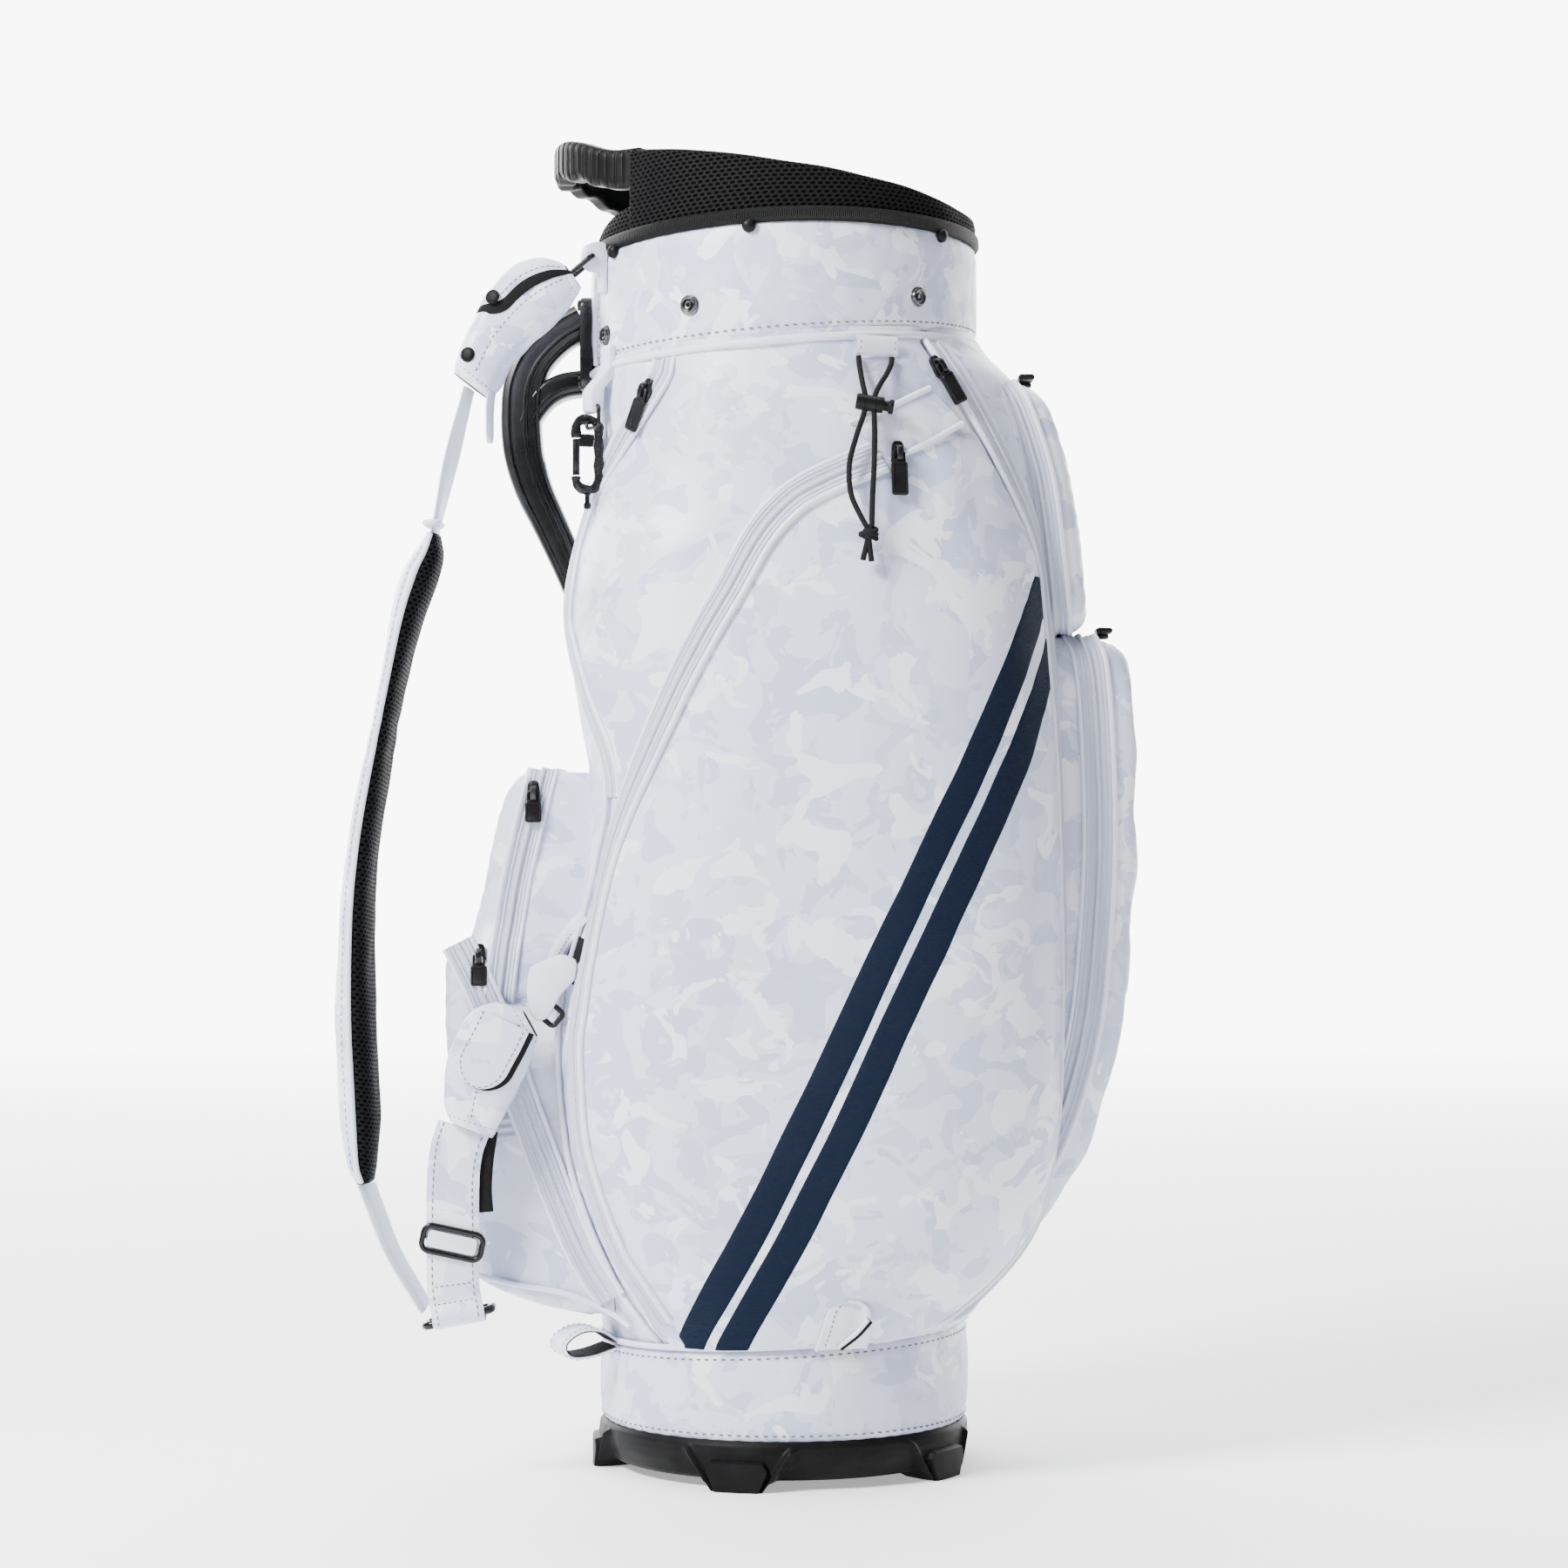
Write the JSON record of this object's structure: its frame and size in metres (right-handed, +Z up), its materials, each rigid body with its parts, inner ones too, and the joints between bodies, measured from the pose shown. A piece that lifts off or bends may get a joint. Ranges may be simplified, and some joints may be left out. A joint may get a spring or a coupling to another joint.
{
  "type": "golf caddy bag",
  "caption": "Free-standing padded golf bag with club dividers, grab and spine handles, zipped pockets, elastic cord with lock, snap hook and adjustable shoulder strap.",
  "frame": {"origin": "centre of the rest pad under the base moulding, on the ground", "axes": "+Z up along the liner tube, +X towards the front pockets, -X towards the spine handle and strap, -Y the near side of the picture"},
  "size_m": [0.5003, 0.3098, 0.8435],
  "materials": {
    "white_leather": "smooth coated leather, slight sheen, faint tone-on-tone pattern",
    "padded_cover": "coated leather-like cover over light foam",
    "webbing": "woven strap",
    "black_plastic": "moulded, fine grain",
    "pull_plastic": "soft matte",
    "black_metal": "dark gunmetal, satin",
    "black_mesh": "spacer mesh",
    "liner": "matt sheet",
    "divider_cloth": "brushed lining",
    "elastic": "braided elastic cord"
  },
  "bodies": {
    "bag": {"base_cuff": "white_leather", "top_cuff": "white_leather", "accessory_tab": "white_leather", "cord_tab": "white_leather", "strap_top_anchor": "white_leather", "strap_bottom_anchor": "white_leather", "front_loop_tab": "white_leather", "rear_loop_tab": "white_leather", "near_side_panel": "padded_cover", "far_side_panel": "padded_cover", "front_panel": "padded_cover", "back_panel": "padded_cover", "near_side_pocket": "padded_cover", "far_side_pocket": "padded_cover", "front_upper_pocket": "padded_cover", "front_lower_pocket": "padded_cover", "back_upper_pocket": "padded_cover", "back_lower_pocket": "padded_cover", "base_moulding": "black_plastic", "mouth_frame": "black_plastic", "spine_plate": "black_plastic", "spine_handle": "black_plastic", "mesh_collar": "black_mesh", "collar_binding": "black_mesh", "liner_tube": "liner", "club_dividers": "divider_cloth", "cord_strand_left": "elastic", "cord_strand_right": "elastic", "cord_knot": "elastic"},
    "zip_slider_a": {"zip_slider_a": "black_metal"},
    "zip_pull_a": {"zip_pull_a": "pull_plastic"},
    "zip_slider_b": {"zip_slider_b": "black_metal"},
    "zip_pull_b": {"zip_pull_b": "pull_plastic"},
    "zip_slider_c": {"zip_slider_c": "black_metal"},
    "zip_pull_c": {"zip_pull_c": "pull_plastic"},
    "zip_slider_d": {"zip_slider_d": "black_metal"},
    "zip_pull_d": {"zip_pull_d": "pull_plastic"},
    "zip_slider_e": {"zip_slider_e": "black_metal"},
    "zip_pull_e": {"zip_pull_e": "pull_plastic"},
    "zip_slider_f": {"zip_slider_f": "black_metal"},
    "zip_pull_f": {"zip_pull_f": "pull_plastic"},
    "zip_slider_g": {"zip_slider_g": "black_metal"},
    "zip_pull_g": {"zip_pull_g": "pull_plastic"},
    "accessory_ring": {"accessory_ring": "black_metal"},
    "snap_hook": {"snap_hook": "black_plastic"},
    "snap_hook_gate": {"snap_hook_gate": "black_metal"},
    "cord_lock": {"cord_lock": "black_plastic"},
    "cord_lock_button": {"cord_lock_button": "black_plastic"},
    "strap": {"strap_top_ring": "black_metal", "strap_top_cover": "white_leather", "strap_upper_webbing": "webbing", "shoulder_pad": "padded_cover", "strap_lower_webbing": "webbing", "strap_ring": "black_metal", "adjuster_strap": "webbing", "strap_bottom_cover": "white_leather", "strap_bottom_ring": "black_metal"},
    "strap_top_flap": {"strap_top_flap": "white_leather"},
    "strap_bottom_flap": {"strap_bottom_flap": "white_leather"},
    "slide_adjuster": {"slide_adjuster": "black_metal"}
  },
  "joints": [
    {"name": "zip_a_run", "type": "slide", "parent": "bag", "child": "zip_slider_a", "axis": [-0.3127, 0.1829, -0.9321], "range_m": [0, 0.014]},
    {"name": "zip_a_pull", "type": "hinge", "parent": "zip_slider_a", "child": "zip_pull_a", "pos_m": [-0.08695, -0.09764, 0.67657], "axis": [-0.5959, 0.7263, 0.3425], "range_deg": [0, 150]},
    {"name": "zip_b_run", "type": "slide", "parent": "bag", "child": "zip_slider_b", "axis": [0.4934, 0.0076, -0.8698], "range_m": [0, 0.014]},
    {"name": "zip_b_pull", "type": "hinge", "parent": "zip_slider_b", "child": "zip_pull_b", "pos_m": [0.09648, -0.10079, 0.69138], "axis": [-0.699, -0.5915, -0.4018], "range_deg": [0, 150]},
    {"name": "zip_c_run", "type": "slide", "parent": "bag", "child": "zip_slider_c", "axis": [-0.8482, -0.3592, -0.3892], "range_m": [0, 0.006]},
    {"name": "zip_c_pull", "type": "hinge", "parent": "zip_slider_c", "child": "zip_pull_c", "pos_m": [0.06994, -0.13108, 0.63459], "axis": [-0.9729, -0.231, 0], "range_deg": [0, 150]},
    {"name": "zip_d_run", "type": "slide", "parent": "bag", "child": "zip_slider_d", "axis": [0, 1, 0], "range_m": [-0.018, 0.036]},
    {"name": "zip_d_pull", "type": "hinge", "parent": "zip_slider_d", "child": "zip_pull_d", "pos_m": [0.1539, -0.01, 0.6918], "axis": [-1, 0, 0], "range_deg": [0, 150]},
    {"name": "zip_e_run", "type": "slide", "parent": "bag", "child": "zip_slider_e", "axis": [0, 1, 0], "range_m": [-0.02, 0.042]},
    {"name": "zip_e_pull", "type": "hinge", "parent": "zip_slider_e", "child": "zip_pull_e", "pos_m": [0.203, -0.012, 0.5308], "axis": [-1, 0, 0], "range_deg": [0, 150]},
    {"name": "zip_f_run", "type": "slide", "parent": "bag", "child": "zip_slider_f", "axis": [0, 0, 1], "range_m": [-0.045, 0]},
    {"name": "zip_f_pull", "type": "hinge", "parent": "zip_slider_f", "child": "zip_pull_f", "pos_m": [-0.157, -0.0628, 0.428], "axis": [-1, 0, 0], "range_deg": [0, 150]},
    {"name": "zip_g_run", "type": "slide", "parent": "bag", "child": "zip_slider_g", "axis": [0, 0, 1], "range_m": [-0.055, 0]},
    {"name": "zip_g_pull", "type": "hinge", "parent": "zip_slider_g", "child": "zip_pull_g", "pos_m": [-0.1905, -0.0688, 0.326], "axis": [-1, 0, 0], "range_deg": [0, 150]},
    {"name": "accessory_ring_swing", "type": "hinge", "parent": "bag", "child": "accessory_ring", "pos_m": [-0.11986, -0.06427, 0.67], "axis": [-0.4726, 0.8813, 0], "range_deg": [0, 30]},
    {"name": "snap_hook_swing", "type": "hinge", "parent": "accessory_ring", "child": "snap_hook", "pos_m": [-0.11986, -0.06427, 0.6564], "axis": [-0.4726, 0.8813, 0], "range_deg": [0, 16]},
    {"name": "snap_hook_gate_hinge", "type": "hinge", "parent": "snap_hook", "child": "snap_hook_gate", "pos_m": [-0.12999, -0.0697, 0.6283], "axis": [-0.4726, 0.8813, 0], "range_deg": [0, 20], "stiffness_Nm_per_rad": 0.02, "springref_deg": -5.73},
    {"name": "cord_lock_slide", "type": "slide", "parent": "bag", "child": "cord_lock", "axis": [0.06, 0.2, 0.978], "range_m": [-0.004, 0.002]},
    {"name": "cord_lock_press", "type": "slide", "parent": "cord_lock", "child": "cord_lock_button", "axis": [-0.9856, 0.0402, 0.1643], "range_m": [0, 0.002], "stiffness_N_per_m": 150, "springref_m": -0.003},
    {"name": "strap_swing", "type": "hinge", "parent": "bag", "child": "strap", "pos_m": [-0.12011, -0.05474, 0.765], "axis": [0.0545, 0.0669, 0.9963], "range_deg": [-6, 22]},
    {"name": "strap_top_flap_hinge", "type": "hinge", "parent": "strap", "child": "strap_top_flap", "pos_m": [-0.1504, -0.058, 0.761], "axis": [0, 1, 0], "range_deg": [0, 100]},
    {"name": "strap_bottom_flap_hinge", "type": "hinge", "parent": "strap", "child": "strap_bottom_flap", "pos_m": [-0.172, -0.1055, 0.2876], "axis": [-0.8821, 0, 0.4711], "range_deg": [0, 90]},
    {"name": "slide_adjuster_run", "type": "slide", "parent": "strap", "child": "slide_adjuster", "axis": [0, 0, 1], "range_m": [-0.016, 0.016]}
  ]
}
